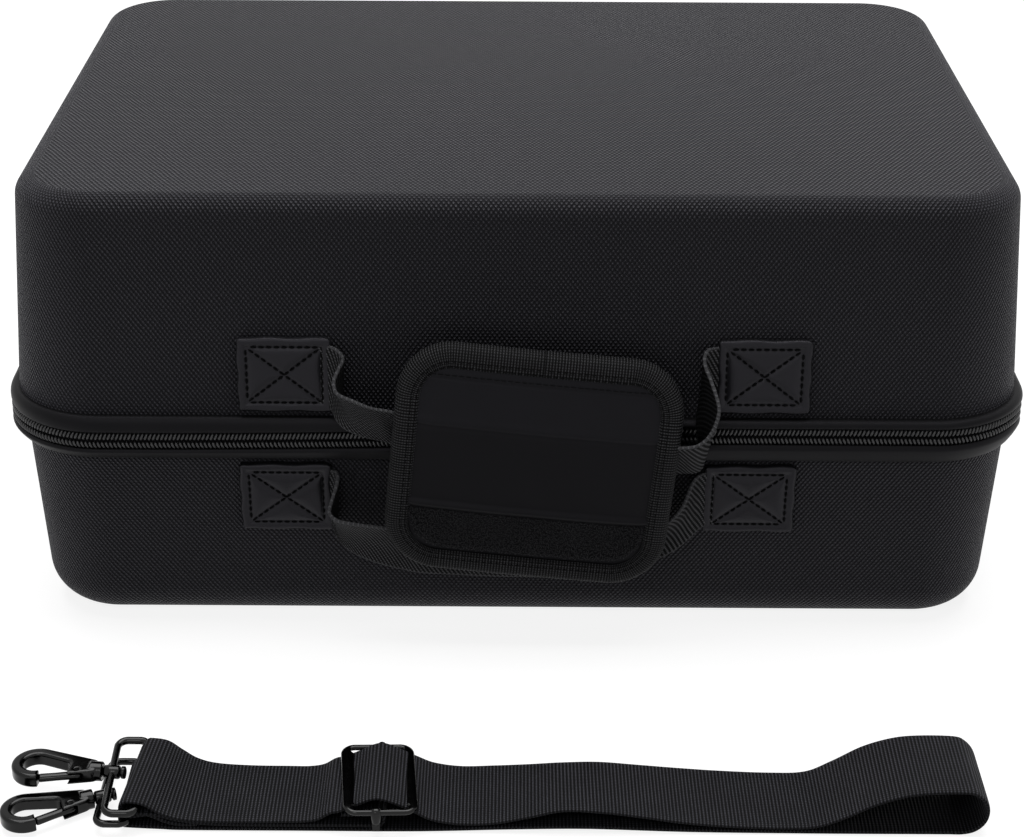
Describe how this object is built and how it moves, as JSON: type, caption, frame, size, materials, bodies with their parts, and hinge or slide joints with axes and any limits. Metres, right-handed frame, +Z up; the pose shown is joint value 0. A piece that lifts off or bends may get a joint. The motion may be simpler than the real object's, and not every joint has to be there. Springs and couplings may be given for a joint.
{
  "type": "portable game console case",
  "caption": "Zipped hard-shell carrying case for a game console, with webbing handles, a wrap grip, a foam nest inside and a detachable shoulder strap.",
  "frame": {"origin": "middle of the case's bottom, on the surface it stands on", "axes": "+X right seen from the handle side, -Y out of the handle side, +Z up"},
  "size_m": [0.464, 0.4931, 0.207],
  "materials": {
    "shell_fabric": "fine woven nylon bonded to moulded foam",
    "band_fabric": "smooth coated tape",
    "zip_tape": "woven tape",
    "zip_coil": "nylon coil",
    "black_metal": "black lacquered zinc",
    "patch_leather": "black grained leather, stitched",
    "handle_web": "diagonal weave webbing",
    "grip_cloth": "smooth knit over padding",
    "grip_edge": "ribbed binding tape",
    "loop_pile": "fuzzy loop pile",
    "hook_tape": "fine hooks",
    "tray_foam": "foam with brushed lining",
    "lining": "lining cloth",
    "net_mesh": "elastic net",
    "strap_web": "ribbed webbing",
    "black_plastic": "moulded slide adjuster"
  },
  "bodies": {
    "base": {"lower_shell": "shell_fabric", "lower_flange_binding": "band_fabric", "lower_zip_tape": "zip_tape", "lower_zip_coil": "zip_coil", "hinge_strip": "band_fabric", "lower_left_patch": "patch_leather", "lower_right_patch": "patch_leather", "lower_handle_webbing": "handle_web", "left_side_tab": "handle_web", "right_side_tab": "handle_web", "left_side_patch": "patch_leather", "right_side_patch": "patch_leather", "console_tray": "tray_foam", "strap_webbing": "strap_web", "strap_adjuster_frame": "black_plastic", "strap_adjuster_bar": "black_plastic", "upper_strap_ring": "black_metal", "lower_strap_ring": "black_metal"},
    "lid": {"upper_shell": "shell_fabric", "upper_flange_binding": "band_fabric", "upper_zip_tape": "zip_tape", "upper_zip_coil": "zip_coil", "upper_left_patch": "patch_leather", "upper_right_patch": "patch_leather", "upper_handle_webbing": "handle_web", "grip_pad": "grip_cloth", "grip_binding": "grip_edge", "grip_loop_strip": "loop_pile", "grip_hook_strip": "hook_tape", "net_gusset": "lining", "lid_net_pocket": "net_mesh"},
    "front_slider": {"front_zip_slider": "black_metal"},
    "rear_slider": {"rear_zip_slider": "black_metal"},
    "front_puller": {"front_zip_puller": "black_metal"},
    "rear_puller": {"rear_zip_puller": "black_metal"},
    "right_ring": {"right_d_ring": "black_metal"},
    "left_ring": {"left_d_ring": "black_metal"},
    "upper_swivel": {"upper_hook": "black_metal", "upper_gate_pin": "black_metal"},
    "lower_swivel": {"lower_hook": "black_metal", "lower_gate_pin": "black_metal"},
    "upper_gate": {"upper_gate": "black_metal"},
    "lower_gate": {"lower_gate": "black_metal"}
  },
  "joints": [
    {"name": "lid_hinge", "type": "hinge", "parent": "base", "child": "lid", "pos_m": [0, 0.167, 0.098], "axis": [-1, 0, 0], "range_deg": [0, 140], "deforming": ["hinge_strip"]},
    {"name": "front_slider_run", "type": "slide", "parent": "base", "child": "front_slider", "axis": [0, -1, 0], "range_m": [0, 0.09]},
    {"name": "rear_slider_run", "type": "slide", "parent": "base", "child": "rear_slider", "axis": [0, 1, 0], "range_m": [0, 0.022]},
    {"name": "front_puller_swing", "type": "hinge", "parent": "front_slider", "child": "front_puller", "pos_m": [0.2334, 0.075, 0.098], "axis": [0, -1, 0], "range_deg": [-15, 150]},
    {"name": "rear_puller_swing", "type": "hinge", "parent": "rear_slider", "child": "rear_puller", "pos_m": [0.2334, 0.088, 0.098], "axis": [0, -1, 0], "range_deg": [-15, 150]},
    {"name": "right_ring_swing", "type": "hinge", "parent": "base", "child": "right_ring", "pos_m": [0.22373, -0.05, 0.05577], "axis": [0, -1, 0], "range_deg": [0, 150]},
    {"name": "left_ring_swing", "type": "hinge", "parent": "base", "child": "left_ring", "pos_m": [-0.22373, -0.05, 0.05577], "axis": [0, 1, 0], "range_deg": [0, 150]},
    {"name": "upper_hook_swivel", "type": "hinge", "parent": "base", "child": "upper_swivel", "pos_m": [-0.1621, -0.293, 0.0127], "axis": [-0.9962, 0.0872, 0], "continuous": true},
    {"name": "lower_hook_swivel", "type": "hinge", "parent": "base", "child": "lower_swivel", "pos_m": [-0.1656, -0.299, 0.005], "axis": [-0.9272, -0.3746, 0], "continuous": true},
    {"name": "upper_gate_spring", "type": "hinge", "parent": "upper_swivel", "child": "upper_gate", "pos_m": [-0.17585, -0.29522, 0.0127], "axis": [0, 0, -1], "range_deg": [0, 30], "stiffness_Nm_per_rad": 0.02, "springref_deg": -17.19},
    {"name": "lower_gate_spring", "type": "hinge", "parent": "lower_swivel", "child": "lower_gate", "pos_m": [-0.17684, -0.30721, 0.005], "axis": [0, 0, -1], "range_deg": [0, 30], "stiffness_Nm_per_rad": 0.02, "springref_deg": -17.19}
  ]
}
